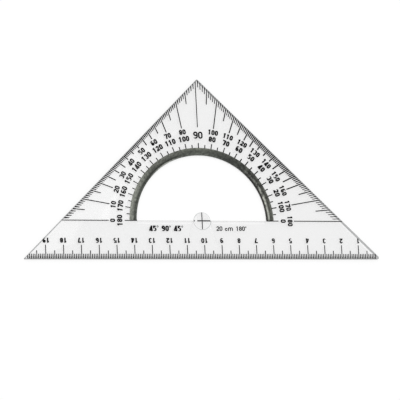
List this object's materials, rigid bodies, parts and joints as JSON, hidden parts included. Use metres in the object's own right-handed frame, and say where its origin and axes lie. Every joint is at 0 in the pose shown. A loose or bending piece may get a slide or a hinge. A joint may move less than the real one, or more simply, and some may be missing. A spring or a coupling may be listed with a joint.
{
  "type": "protractor set square",
  "caption": "Clear moulded 45 degree set square with a half-round opening, a printed centimetre scale on its hypotenuse and a two-way degree scale along its legs.",
  "frame": {"origin": "centre of the protractor's circle, on the plate's underside", "axes": "+X to the right along the hypotenuse, +Y to the right-angled corner, +Z out of the printed face"},
  "size_m": [0.2039, 0.1026, 0.0019],
  "materials": {
    "clear_plastic": "clear moulded polystyrene, glossy, with a faint cool tint",
    "ink": "black printing ink, satin, slightly worn"
  },
  "bodies": {
    "root": {"plate": "clear_plastic", "millimetre_ticks": "ink", "half_centimetre_ticks": "ink", "centimetre_ticks": "ink", "centimetre_numerals": "ink", "degree_ticks": "ink", "five_degree_ticks": "ink", "ten_degree_lines": "ink", "outer_degree_numerals": "ink", "inner_degree_numerals": "ink", "right_angle_numeral": "ink", "inner_five_degree_ticks": "ink", "inner_ten_degree_ticks": "ink", "base_line": "ink", "centre_cross": "ink", "corner_angle_marks": "ink", "range_marks": "ink"}
  },
  "joints": []
}
